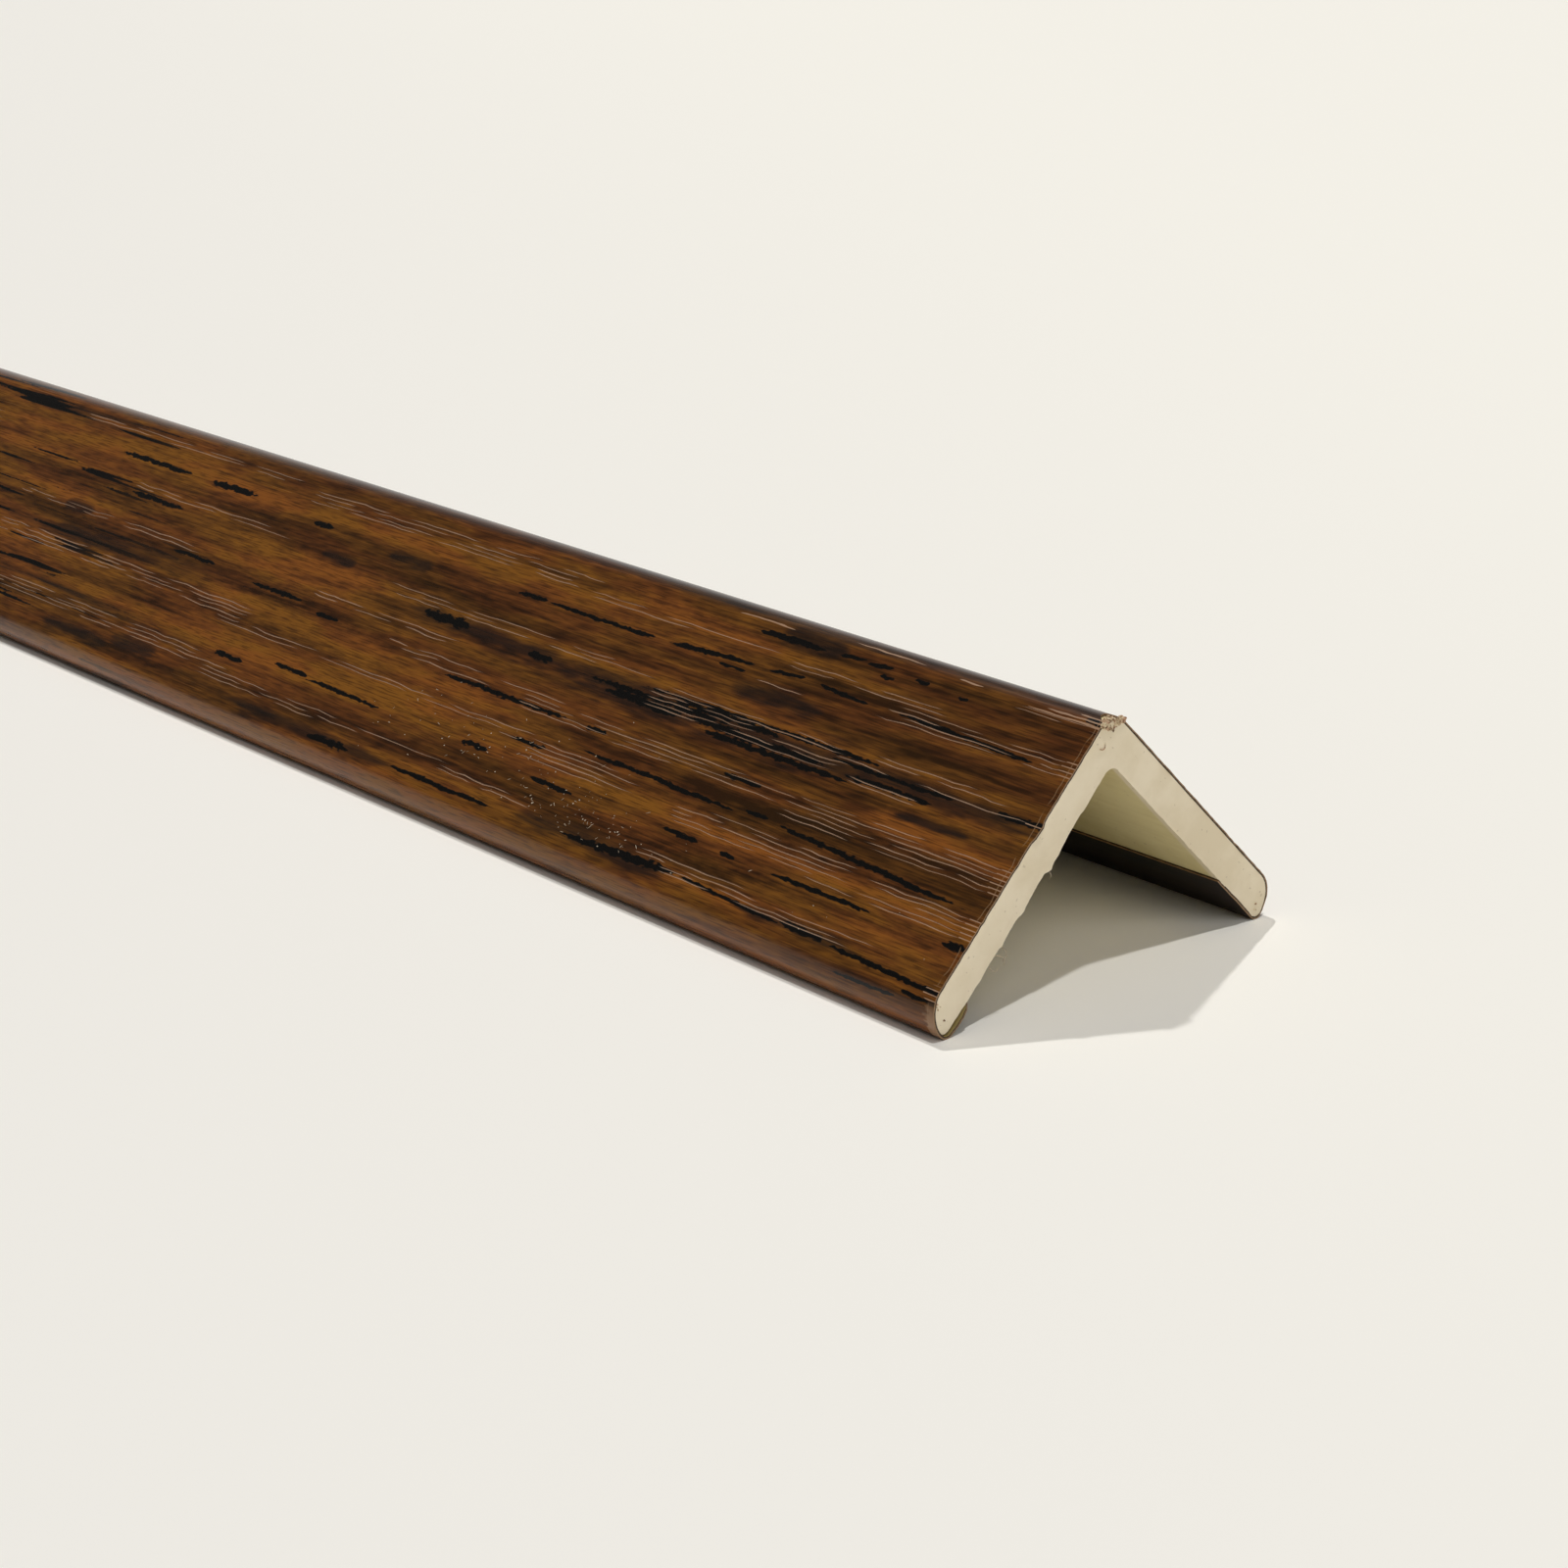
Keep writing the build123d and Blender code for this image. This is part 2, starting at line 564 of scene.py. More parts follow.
# Tree: a flat panel with a leaf-shaped trough cut in at each point
def buildPanelTree():
    maker, given = newTree("poredPanel", {
        "Panel Length": "Float",
        "Panel Width": "Float",
        "Length Steps": "Int",
        "Width Steps": "Int",
        "Pore Steps": "Int",
        "Wave Height": "Float",
        "Kink Height": "Float",
        "Film": "Material",
    })
    isRim = maker.add("FunctionNodeCompare", {"data_type": "INT", "operation": "EQUAL"}, {
        2: maker.geo("InputMeshEdgeNeighbors", {}),
        3: 1,
    })

    def vertexCount(label):
        return given.also(label) + 1

    leaf = maker.geo("MeshGrid", {
        "Size X": 1.0,
        "Size Y": 1.0,
        "Vertices X": vertexCount("Pore Steps"),
        "Vertices Y": 3,
    })
    spot = maker.geo("InputPosition", {})
    x = maker.split(spot)
    y = x.also("Y")
    square = x * x * 4
    taper = (1 - square * square).most(0.0).root()
    sunk = (abs(y) * 2 - 1) * taper
    shaped = maker.join(X=x, Y=y * taper, Z=sunk)
    leaf = maker.geo("SetPosition", {"Geometry": leaf, "Position": shaped})
    leaf = maker.geo("MergeByDistance", {"Geometry": leaf, "Distance": 0.0005})
    rim = maker.geo("MeshToCurve", {"Mesh": leaf, "Selection": isRim})
    labels = ("poreLength", "poreWidth", "poreDepth")
    size = maker.join(**{axis: maker.column(label) for axis, label in zip("XYZ", labels)})

    def scatter(shape):
        put = {"Points": given, "Instance": shape, "Scale": size}
        put = maker.add("GeometryNodeInstanceOnPoints", {}, put)
        return maker.geo("RealizeInstances", {"Geometry": put})

    troughs, rims = scatter(leaf), scatter(rim)
    sheet = maker.geo("MeshGrid", {
        "Size X": given.also("Panel Length"),
        "Size Y": given.also("Panel Width"),
        "Vertices X": vertexCount("Length Steps"),
        "Vertices Y": vertexCount("Width Steps"),
    })
    outline = maker.geo("MeshToCurve", {"Mesh": sheet, "Selection": isRim})
    lines = maker.geo("JoinGeometry", {"Geometry": [rims, outline]})
    flat = maker.add("GeometryNodeFillCurve", {"mode": "TRIANGLES"}, {"Curve": lines})
    whole = maker.geo("JoinGeometry", {"Geometry": [flat, troughs]})
    whole = maker.geo("MergeByDistance", {"Geometry": whole, "Distance": 0.0015})
    # the grain wanders a little, and lies still along the panel's border
    inLength = (given.also("Panel Length") * 0.5 - abs(x)).ramp(0.0, 1.5)
    inWidth = (given.also("Panel Width") * 0.5 - abs(y)).ramp(0.0, 0.9)
    wander = maker.cloud(spot, (0.3, 0.35, 1.0), (40, 9, 0), detail=1.0) - 0.5
    kink = maker.cloud(spot, (0.9, 0.5, 1.0), (7, 3, 0), detail=1.0) - 0.5
    shift = (wander * given.also("Wave Height") + kink * given.also("Kink Height")) * inLength * inWidth * 2
    whole = maker.geo("SetPosition", {"Geometry": whole, "Offset": maker.join(Y=shift)})
    whole = maker.geo("RealizeInstances", {"Geometry": whole})
    whole = maker.geo("SetMaterial", {"Geometry": whole, "Material": given.also("Film")})
    maker.add("NodeGroupOutput", {}, {"Geometry": whole})
    return maker.tree


# print of the photographed face, in mm: from and to along the bar, down the face at each, half width
blackStreaks = (
    (26, 33.1, 2.35, 2.35, 0.22),
    (22.1, 24.8, 2.05, 2.35, 0.18),
    (19.4, 21.9, 2.05, 2.3, 0.18),
    (18.7, 20.2, 2.85, 2.85, 0.16),
    (15.6, 17.1, 2.4, 2.4, 0.17),
    (11.7, 12.7, 2.65, 2.65, 0.13),
    (-1, 1.8, 1.4, 1.4, 0.26),
    (42.5, 47, 5.4, 5.5, 0.18),
    (31.3, 40.8, 5, 5.45, 0.2),
    (32, 35, 5.75, 5.75, 0.14),
    (26.3, 30, 4.85, 5, 0.18),
    (19.6, 24.8, 5.2, 4.85, 0.18),
    (3.5, 16.5, 5.4, 5.1, 0.21),
    (25, 37.3, 9.5, 9.5, 0.21),
    (35, 44, 10.5, 10.5, 0.33),
    (20, 35, 10.4, 10.4, 0.36),
    (9.2, 17.9, 10.5, 10.5, 0.26),
    (7.5, 20, 9.7, 9.7, 0.18),
    (15, 40, 9.1, 9.2, 0.2),
    (17, 33, 11.0, 11.0, 0.24),
    (30, 47, 9.9, 10, 0.24),
    (-1, 4.2, 9.5, 9.5, 0.28),
    (41.2, 43.7, 13.75, 13.75, 0.2),
    (24.2, 28.3, 13.4, 13.4, 0.22),
    (25, 42.5, 15.75, 15.5, 0.2),
    (21.9, 24.4, 15.4, 15.4, 0.17),
    (2.1, 21, 16.4, 15.6, 0.22),
    (26.7, 30.8, 18.8, 18.8, 0.21),
    (22.7, 24.4, 18.95, 18.95, 0.17),
    (9, 19, 18.95, 18.95, 0.2),
    (-1, 2.3, 19, 19, 0.26),
    (40.8, 46, 18.95, 18.95, 0.2),
    (26.7, 39.6, 21.5, 22, 0.31),
    (15.8, 26.7, 22, 21.6, 0.18),
    (11.3, 15.8, 21.9, 21.9, 0.31),
    (-1, 11, 22.3, 22.1, 0.21),
    (3.3, 9.6, 23.5, 23.5, 0.17),
    (-1, 3.3, 23, 23, 0.17),
    (55.4, 59.2, 5.4, 5.4, 0.24),
    (45, 55.4, 5.5, 5.5, 0.18),
    (84.6, 87.5, 5.3, 5.3, 0.23),
    (61.7, 68, 9.5, 9.5, 0.44),
    (51, 54, 9.9, 9.9, 0.33),
    (45.8, 61.7, 13.75, 13.75, 0.2),
    (82.5, 90, 12.2, 12.2, 0.22),
    (76.7, 80, 12.75, 12.75, 0.21),
    (76, 81, 18, 18, 0.23),
    (65.4, 76, 18.25, 18.25, 0.18),
    (51.7, 55, 18.25, 18.25, 0.23),
    (46, 50.4, 16.5, 16.5, 0.21),
    (84.6, 89, 18.9, 18.9, 0.23),
    (66, 71.7, 22.4, 22.4, 0.33),
    (48, 60.8, 22.2, 22.2, 0.2),
    (107, 119, 4.7, 4.7, 0.26),
    (96.7, 104, 4.7, 4.7, 0.26),
    (105, 113.7, 8, 8, 0.23),
    (96, 103, 11.8, 11.8, 0.22),
)
# softer, wider dark clouds of the same print
darkClouds = (
    (24, 31, 2.0, 2.0, 0.8),
    (23, 33, 6.9, 7.1, 0.8),
    (14, 52, 10.0, 10.2, 1.35),
    (0, 19, 9.9, 9.9, 0.7),
    (5, 12, 11.8, 11.9, 0.35),
    (48, 70, 9.9, 9.6, 0.9),
    (70, 76, 5.9, 5.9, 0.6),
    (28, 45, 21.8, 22.1, 0.9),
    (14, 46, 10.3, 10.3, 0.75),
    (8, 20, 22.0, 22.0, 0.6),
    (60, 84, 22.3, 22.3, 0.6),
    (79, 84, 7.6, 7.6, 0.5),
    (106, 122, 13.5, 13.5, 0.8),
    (96, 103, 21, 21, 0.8),
    (103, 114, 22, 22, 0.6),
    (117, 122, 11, 11, 0.6),
)
# and warmer patches of it
amberGlows = (
    (-2, 14, 12.4, 12.4, 1.7),
    (-4, 44, 18.0, 18.6, 1.7),
    (24, 52, 3.7, 3.7, 1.3),
    (0, 22, 20.4, 20.4, 0.9),
    (68, 96, 14.0, 14.0, 1.2),
    (58, 98, 16.6, 16.8, 1.5),
    (74, 104, 9.9, 9.9, 1.6),
    (96, 128, 8.6, 8.6, 1.5),
    (104, 128, 17.4, 17.4, 1.6),
)
# pale pores on the round of the corner, where the sheet is too bent to be cut
cornerPores = (
    (-1, 5.2, 1.42, 1.38, 0.055),
    (-1, 6.7, 1.72, 1.68, 0.055),
    (11.2, 13.5, 1.36, 1.36, 0.05),
    (17.0, 24.0, 1.05, 1.0, 0.05),
    (30.0, 36.0, 1.5, 1.5, 0.05),
    (-1, 2.4, 1.1, 1.1, 0.05),
)
filmPrint = {
    "deepBrown": (0.027, 0.0102, 0.0024),
    "brown": (0.077, 0.0274, 0.0058),
    "russet": (0.134, 0.0478, 0.0092),
    "amber": (0.224, 0.0815, 0.0120),
    "smoke": (0.0062, 0.0062, 0.0062),
    "black": (0.0036, 0.0032, 0.0028),
    "poreEdge": (0.46, 0.285, 0.18),
    "cutEdge": (0.31, 0.19, 0.10),
    "coreSideEdge": (0.048, 0.026, 0.013),
    "glueSide": (0.26, 0.195, 0.07),
    "wornRim": (0.36, 0.215, 0.12),
    "redder": (1.07, 0.97, 1.10),
    "yellower": (1.01, 1.08, 0.95),
    "handReach": (90.0, 125.0),
}


# Nearest of a list of marks, three to a vector: under 1 is inside
def nearestMark(maker, along, down, marks):
    along, down = along / readScale[0], down / readScale[1]
    alongs, downs = maker.join(X=along, Y=along, Z=along), maker.join(X=down, Y=down, Z=down)
    nearest = None
    for k in range(0, len(marks), 3):
        three = (marks[k:k + 3] + marks[k:k + 1] * 2)[:3]
        stretch = tuple(2 / (m[1] - m[0]) for m in three)
        centre = tuple(-(m[0] + m[1]) / (m[1] - m[0]) for m in three)
        slope = tuple((m[3] - m[2]) / (m[1] - m[0]) for m in three)
        level = tuple(m[2] - m[0] * t for m, t in zip(three, slope))
        place = maker.vector("MULTIPLY_ADD", alongs, stretch, centre)
        square = maker.vector("MULTIPLY", place, place)
        taper = maker.vector("MULTIPLY", maker.vector("MULTIPLY", square, square), square)
        middle = maker.vector("MULTIPLY_ADD", alongs, slope, level)
        off = maker.vector("ABSOLUTE", maker.vector("SUBTRACT", downs, middle))
        far = maker.vector("MULTIPLY_ADD", off, tuple(1 / m[4] for m in three), taper)
        nearest = far if nearest is None else maker.vector("MINIMUM", nearest, far)
    parts = maker.split(nearest)
    return parts.least(parts.also("Y")).least(parts.also("Z"))


def buildFilmMaterial():
    material, maker, shader = newMaterial("woodGrainFilm", {"Specular IOR Level": 0.25})
    grain = maker.stored("grain", "Vector")
    along = maker.split(grain)
    across = along.also("Y")
    # figure: long soft bands, from deep brown to amber, broken up by slanted flecks
    band = maker.cloud(grain, (0.012, 0.34), (3.1, 7.7, 0), detail=2.0, rough=0.55)
    flame = maker.cloud(grain, (0.026, 0.62), (9.0, 2.0, 0), detail=3.0, rough=0.6)
    slanted = maker.join(X=along * 0.20 + across * 0.30, Y=across * 0.95)
    fleck = maker.cloud(slanted, (1.0, 1.0), (1.0, 5.0, 0), detail=2.0, rough=0.6)
    fibre = maker.cloud(grain, (0.06, 3.6), (2.0, 4.0, 0), detail=2.0, rough=0.65)
    hair = maker.cloud(grain, (0.40, 8.0), (6.0, 1.0, 0), detail=1.0, rough=0.6)
    rag = maker.cloud(grain, (1.2, 3.0), (0.0, 3.0, 0), detail=1.0, rough=0.65)
    uneven = rag - 0.5
    down = virtualCorner - across + (fleck - 0.5) * 0.35
    photographed = along.ramp(*filmPrint["handReach"], 1.0, 0.0) * across.ramp(3.5, 2.0)
    glow = (nearestMark(maker, along, down, amberGlows) + uneven).ramp(1.5, 0.1) * photographed
    printWarmthAndNoseLight = along.ramp(25.0, 80.0) * 0.025 + along.ramp(80.0, 150.0) * 0.07 + glow * 0.14
    nick = maker.cloud(slanted, (2.3, 2.6), (4.0, 2.0, 0), detail=1.0, rough=0.6)
    # painted light: the nose is painted lighter, standing in for light from the floor below
    printWarmthAndNoseLight = printWarmthAndNoseLight + abs(across).ramp(22.4, 24.0) * 0.15
    figure = band * 0.80 + flame * 0.60 + fleck * 0.36 + nick * 0.22 + fibre * 0.36 + printWarmthAndNoseLight - 0.68
    base = maker.add("ShaderNodeValToRGB", {"stops": (
        (0.28, filmPrint["deepBrown"]),
        (0.42, filmPrint["brown"]),
        (0.56, filmPrint["russet"]),
        (0.74, filmPrint["amber"]),
    )}, {"Fac": figure})
    # red in some places, yellower in others
    hue = maker.cloud(grain, (0.07, 0.42), (2.5, 8.0, 0), detail=1.0)
    hue = (hue + (fleck - 0.5) * 0.5).ramp(0.32, 0.68)
    base = maker.tint(1.0, base, maker.tint(hue, filmPrint["redder"], filmPrint["yellower"]), "MULTIPLY")
    base = maker.tint(hair.ramp(0.47, 0.72) * 0.55, base, filmPrint["deepBrown"])
    # streaks set one by one on the photographed face, and drawn by noise everywhere else
    marks = (nearestMark(maker, along, down, blackStreaks) + uneven * 1.5).ramp(1.08, 0.72)
    clouds = (nearestMark(maker, along, down, darkClouds) + (fleck - 0.5) * 1.6).ramp(1.5, 0.2, 0.0, 0.8)
    vein = maker.cloud(grain, (0.045, 1.5), (8.0, 3.0, 0), detail=1.0, rough=0.55)
    gather = maker.cloud(grain, (0.014, 0.30), (5.0, 1.0, 0), detail=0.0)
    drawn = (vein + (gather - 0.5) * 0.4 + uneven * 0.09).ramp(0.685, 0.725) * (1 - photographed)
    drift = (gather * 0.9 + vein * 0.35 + flame * 0.3).ramp(0.92, 1.08) * (1 - photographed)
    base = maker.tint(clouds.most(drift) * (fibre * 0.9 + 0.45).least(1.0), base, filmPrint["smoke"])
    base = maker.tint(marks.most(drawn), base, filmPrint["black"])
    # painted shade: the ridge is painted near-black, so that its sheen reads grey
    base = maker.tint(abs(across).ramp(1.2, 0.5) * 0.55, base, filmPrint["smoke"])
    # pores show a pale edge, partly worn and partly a painted highlight; the heel and turned-in strip are
    # painted near-black as shade; the cut sheet shows its brown body
    bent = (nearestMark(maker, along, down, cornerPores) + uneven).ramp(1.3, 0.7) * photographed
    # and run on to the cut, past the end of the panel that they are pressed into
    spans = [(top, foot) for near, far, top, foot in poreGroups if near == 0]
    cutGroups = [(-1.0, 1.5, (t + f) / 2, (t + f) / 2, (f - t) / 2) for t, f in spans]
    lane = (-1 * across - cornerRun - pores["rim"]) / pores["pitch"]
    lane = abs(lane.calc("FRACT") - 0.5).ramp(0.36, 0.44)
    atCut = nearestMark(maker, along, virtualCorner - across, cutGroups).ramp(1.1, 0.9)
    pale = maker.stored("pore").ramp(0.05, 0.6).most(bent).most(atCut * lane * photographed)
    # pale pores: partly a worn edge, partly a painted highlight of the groove walls
    base = maker.tint(pale * (0.55 + rag * 0.4), base, filmPrint["poreEdge"])
    # the sheet is creased pale in places along its near cut
    bend = maker.cloud(grain, (0.15, 0.42), (1.0, 6.0, 0), detail=2.0)
    crease = abs(along + bend * 0.7 - 0.98).ramp(0.06, 0.02) * bend.ramp(0.40, 0.50) * across.ramp(3.5, 2.0)
    base = maker.tint(crease * 0.5, base, filmPrint["cutEdge"])
    # film at the photographed tip is rubbed to its body for the last bit of its length
    rubbed = (along + uneven * 0.9).ramp(0.95, 0.6) * across.ramp(-22.9, -24.3) * across.ramp(-27.6, -27.2)
    base = maker.tint(rubbed * 0.8, base, filmPrint["wornRim"])
    # painted shade: the heel and turned-in strip are painted near-black, except where rubbed at the tip
    base = maker.tint(abs(across).ramp(26.3, 27.3) * (1 - rubbed) * 0.95, base, filmPrint["black"])
    under = maker.stored("under")
    base = maker.tint(under.ramp(0.8, 0.95), base, filmPrint["glueSide"])
    # the cut face runs from tan at its outside to dark at the core side
    deep = (under + (rag - 0.5) * 0.5).ramp(0.25, 0.65)
    edge = maker.tint(deep, filmPrint["cutEdge"], filmPrint["coreSideEdge"])
    base = maker.tint(maker.stored("cutFace"), base, edge)
    rough = 0.20 + fibre * 0.10 + pale * 0.3 + abs(across).ramp(26.6, 27.4) * 0.3
    height = fibre * 0.5 + hair * 0.5
    feed(maker, shader, {"Base Color": base, "Roughness": rough, "Normal": maker.bump(0.30, height)})
    return material


# Down one leg from the ridge: corner, face, nose, edge, heel and return
def filmPath(offset):
    w = filmWrap
    path = arcRun((cornerRadius, cornerRadius), cornerRadius + offset, -135, -90, w["cornerSteps"])
    path += straightRun((cornerRadius, -offset), (noseStart, -offset), w["flatSteps"])[1:]
    path += arcRun((noseStart, noseRadius), noseRadius + offset, -90, 0, w["noseSteps"])[1:]
    path += arcRun((heelStart, wall - heelRadius), heelRadius + offset, 0, 90, w["heelSteps"])
    path += straightRun((heelStart, wall + offset), (filmEdge, wall + offset), w["returnSteps"])[1:]
    return path


# How far round the wrapped sheet a point of the section lies, from the ridge
def developed(a, d):
    if d > wall - heelRadius and a < heelStart:
        run = noseRun + section["edgeLand"] + heelRun + (heelStart - a)
        return cornerRun + flatRun + run
    if a > noseStart and d <= noseRadius:
        return cornerRun + flatRun + (noseRadius + filmGauge) * math.atan2(a - noseStart, noseRadius - d)
    if a > noseStart and d <= wall - heelRadius:
        return cornerRun + flatRun + noseRun + d - noseRadius
    if a >= heelStart:
        turn = math.atan2(d - wall + heelRadius, a - heelStart)
        return cornerRun + flatRun + noseRun + section["edgeLand"] + turn * (heelRadius + filmGauge)
    if a > cornerRadius:
        return cornerRun + a - cornerRadius
    turn = math.pi / 4 - math.atan2(cornerRadius - a, max(cornerRadius - d, 1e-6))
    return (cornerRadius + filmGauge) * max(turn, 0.0)


# The near cut of the sheet is uneven: frayed at the ridge, back from the sawn end down the face,
# proud at the photographed tip and short again where it is turned in
def cutBack(run, side):
    back = 0.24 + 0.09 * wave(run * 0.7, side * 2.0) + 0.06 * wave(run * 2.3, side * 7.0)
    back += 0.30 * math.exp(-((run / 1.2) ** 2)) * (0.75 + 0.5 * wave(run * 5.0, side * 3.0))
    if side < 0:
        back -= 0.16 * smoothStep(9.0, 9.3, run) * (1 - smoothStep(9.9, 10.6, run))
        back *= 1 - smoothStep(22.0, 24.8, run)
        back += 0.55 * smoothStep(28.8, 29.8, run)
    return min(max(back, 0.0), filmWrap["mostCutBack"])


# and a piece is torn out of it at the ridge
def tornOut(run, side):
    return filmWrap["ridgeTear"] * smoothStep(1.0, 0.25, run) * (0.9 + 0.4 * wave(run * 4.0, side * 5.0))


# what each face of the sheet belongs to
panelZone, outsideZone, gluedZone, nearZone, farZone, sideZone = range(6)


def buildFilm():
    w = filmWrap
    film = buildFilmMaterial()
    faceOut, faceIn = filmPath(filmGauge), filmPath(0.0)
    last = len(faceOut) - 1
    stations = [(i, -1) for i in range(last, 0, -1)] + [(i, 1) for i in range(last + 1)]
    count = len(stations)
    flatFrom, flatTo = w["cornerSteps"], w["cornerSteps"] + w["flatSteps"]
    runs = [developed(*spot) for spot in faceOut]
    panelLength = (section["barLength"] - 2 * w["endStrip"]) / w["panels"]
    step = panelLength / w["rowsPerPanel"]
    rows = [(halfLength - x, 1 - x / w["endStrip"], True, 1.0) for x in w["nearRows"]]
    total = w["panels"] * w["rowsPerPanel"]
    for k in range(total + 1):
        rows.append((halfLength - w["endStrip"] - k * step, 0.0, k in (0, total), 0.0 if k else 0.9))
    rows.append((-halfLength, 0.0, True, 0.0))
    verts, sunk, faces, zones = [], [], [], []
    inFlat = [flatFrom < i < flatTo for i, side in stations]

    def addFace(face, zone):
        faces.append(face)
        zones.append(zone)

    def rowOf(path, depth, x, pulled, full, torn):
        row = []
        for k, (i, side) in enumerate(stations):
            if inFlat[k] and not full:
                row.append(None)
                continue
            row.append(len(verts))
            a, d = path[i]
            if side < 0 and d > wall - heelRadius:
                stand = smoothStep(24.3, 23.2, a) * smoothStep(20.8, 22.4, a)
                d += pulled * w["tipStand"] * stand
            back = pulled * cutBack(runs[i], side) + torn * tornOut(runs[i], side)
            verts.append(barPoint(x - back, a, d, side))
            sunk.append(depth)
        return row

    outer = [rowOf(faceOut, 0.0, *row) for row in rows]
    inner = [rowOf(faceIn, filmGauge, *row) for row in rows]
    border = [k for k in range(count) if stations[k][0] in (flatFrom, flatTo)]
    flats = ((border[0], border[1]), (border[2], border[3]))
    for r in range(len(rows) - 1):
        whole = rows[r][2] and rows[r + 1][2]
        for k in range(count - 1):
            onFlat = any(start <= k < end for start, end in flats)
            if whole or not onFlat:
                addFace((outer[r][k], outer[r][k + 1], outer[r + 1][k + 1], outer[r + 1][k]), outsideZone)
                addFace((inner[r][k], inner[r + 1][k], inner[r + 1][k + 1], inner[r][k + 1]), gluedZone)
        if not whole:
            for start, end in flats:
                first = [v for v in inner[r][start:end + 1] if v is not None]
                second = [v for v in inner[r + 1][start:end + 1] if v is not None]
                addFace((*first, *reversed(second)), gluedZone)
        for k in (0, count - 1):
            addFace((outer[r][k], inner[r][k], inner[r + 1][k], outer[r + 1][k]), sideZone)
    for r, zone in ((0, nearZone), (len(rows) - 1, farZone)):
        for k in range(count - 1):
            addFace((outer[r][k], outer[r][k + 1], inner[r][k + 1], inner[r][k]), zone)

    # the two printed faces come from the tree, panel by panel
    tree = buildPanelTree()
    settings = {
        "Panel Length": panelLength,
        "Panel Width": flatRun,
        "Length Steps": w["rowsPerPanel"],
        "Width Steps": w["flatSteps"],
        "Pore Steps": pores["steps"],
        "Wave Height": pores["waveHeight"],
        "Kink Height": pores["kinkHeight"],
        "Film": film,
    }
    poreCount = 0
    for side in (-1, 1):
        for panel in range(w["panels"]):
            sites, columns = poreSites(side, panel, panelLength)
            poreCount += len(sites)
            made = runTree(tree, "panel", sites, columns, settings)
            flat = fetch(made.vertices, "co", np.float32, 3).astype(float)
            start = len(verts)
            middle = halfLength - w["endStrip"] - (panel + 0.5) * panelLength
            for x, y, z in flat:
                a = cornerRadius + flatRun / 2 + y
                verts.append(barPoint(middle - x, a, -filmGauge - z, side))
                sunk.append(-z)
            for polygon in made.polygons:
                addFace(tuple(start + v for v in polygon.vertices), panelZone)
            bpy.data.meshes.remove(made)
    print("pores pressed into the film:", poreCount)
    mesh = bpy.data.meshes.new("filmWrap")
    mesh.from_pydata(verts, [], faces)
    store(mesh, "sunk", "FLOAT", "POINT", sunk)
    store(mesh, "zone", "INT", "FACE", zones)
    print("film edges that are not shared by two faces:", closeShell(mesh, w["weld"]))
    mesh.materials.append(film)
    dressFilm(mesh, panelLength)
    return mesh


# Print coordinates, pore depth, cut edges and the map that unrolls the sheet in strips
def dressFilm(mesh, panelLength):
    w = filmWrap
    spots = fetch(mesh.vertices, "co", np.float32, 3).astype(float) * 1000
    side = np.where(spots[:, 1] < 0, -1.0, 1.0)
    low = (cornerHeight - spots[:, 2]) * root2
    wide = np.abs(spots[:, 1]) * root2
    legs = np.stack(((low + wide) / 2, (low - wide) / 2), axis=1)
    run = np.array([developed(a, d) for a, d in legs])
    grain = np.zeros((len(spots), 3), np.float32)
    grain[:, 0] = halfLength - spots[:, 0]
    grain[:, 1] = run * side
    store(mesh, "grain", "FLOAT_VECTOR", "POINT", grain.ravel())
    sunk = fetch(mesh.attributes["sunk"].data, "value", np.float32)
    depth = np.where(sunk < filmGauge / 2, np.clip(sunk / pores["depths"][1], 0, 1), 0).astype(np.float32)
    store(mesh, "pore", "FLOAT", "POINT", depth)
    zones = fetch(mesh.attributes["zone"].data, "value", np.int32)
    cut = np.isin(zones, (nearZone, farZone, sideZone))
    store(mesh, "cutFace", "FLOAT", "FACE", cut.astype(np.float32))
    under = sunk / filmGauge
    store(mesh, "under", "FLOAT", "POINT", under)
    smooth = np.isin(zones, (outsideZone, gluedZone))
    mesh.polygons.foreach_set("use_smooth", smooth)
    mesh.set_sharp_from_angle(angle=sharpAngle)
    mesh.polygons.foreach_set("use_smooth", smooth)
    # the map: four strips of the outside, a squeezed copy of the glued side, cut edges beside the strips
    layer = mesh.uv_layers.new(name="OFBake")
    corners = fetch(mesh.loops, "vertex_index", np.int32)
    sizes = fetch(mesh.polygons, "loop_total", np.int32)
    owner = np.repeat(np.arange(len(sizes)), sizes)
    alongs, acrosses = grain[corners, 0].astype(float), grain[corners, 1].astype(float)
    middle = np.bincount(owner, alongs) / sizes
    strip = np.clip((middle - w["endStrip"]) // panelLength, 0, w["panels"] - 1)
    start = np.where(strip == 0, 0.0, w["endStrip"] + strip * panelLength)
    u = 2 + alongs - start[owner]
    t = 35 + strip[owner] * w["sheetGap"] + acrosses
    zone = zones[owner]
    thick = under[corners] * filmGauge * 4
    glued, near, far, side = [zone == one for one in (gluedZone, nearZone, farZone, sideZone)]
    u[glued] = 2 + alongs[glued] / 4.05
    t[glued] = 5 + w["panels"] * w["sheetGap"] + (acrosses[glued] + run.max()) * 0.5
    u[near] -= thick[near]
    u[far] += thick[far]
    t[side] += thick[side] * np.sign(acrosses[side])
    layer.data.foreach_set("uv", (np.stack((u, t), axis=1) / w["bakeSide"]).astype(np.float32).ravel())


addPiece("filmWrap", buildFilm(), "wood_film")

